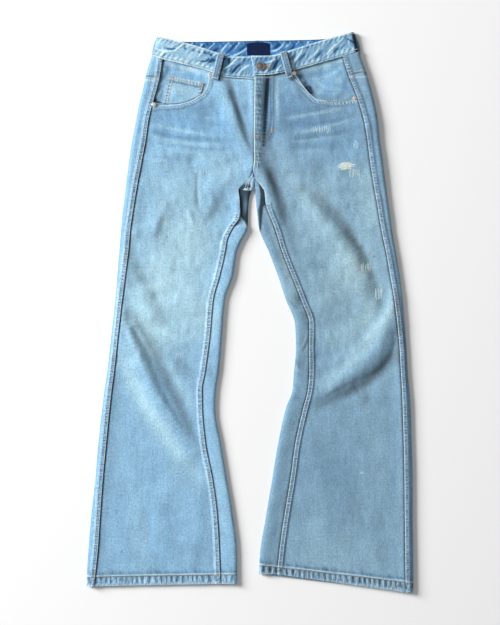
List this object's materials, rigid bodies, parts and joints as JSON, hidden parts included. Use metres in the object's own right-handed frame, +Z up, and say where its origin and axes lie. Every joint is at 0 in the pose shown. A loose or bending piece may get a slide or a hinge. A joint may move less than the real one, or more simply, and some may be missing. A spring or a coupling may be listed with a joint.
{
  "type": "jeans",
  "caption": "Bootcut denim jeans laid flat on their back and buttoned, with scoop front pockets, a coin pocket, a yoke, belt loops and flared hems.",
  "frame": {"origin": "centre of the bounding box, on the surface that the jeans lie on", "axes": "+Y from the hems to the waist, +X to the right seen from the front, +Z up from the surface through the back to the front"},
  "size_m": [0.6553, 1.1215, 0.0141],
  "materials": {
    "denim": "washed mid-blue denim twill, faded on the thighs and knees, with cream topstitching",
    "button_metal": "dark aged brass cap with a brighter rim",
    "rivet_metal": "copper-coloured, worn pale",
    "label_cloth": "navy woven, bare"
  },
  "bodies": {
    "root": {"front_left": "denim", "front_right": "denim", "back_left": "denim", "back_right": "denim", "yoke_left": "denim", "yoke_right": "denim", "waistband": "denim", "pocket_facing_left": "denim", "pocket_facing_right": "denim", "coin_pocket": "denim", "back_pocket_left": "denim", "back_pocket_right": "denim", "belt_loop_front_left": "denim", "belt_loop_front_right": "denim", "belt_loop_side_left": "denim", "belt_loop_side_right": "denim", "belt_loop_back": "denim", "button": "button_metal", "rivet_1": "rivet_metal", "rivet_2": "rivet_metal", "rivet_3": "rivet_metal", "rivet_4": "rivet_metal", "label": "label_cloth"}
  },
  "joints": []
}
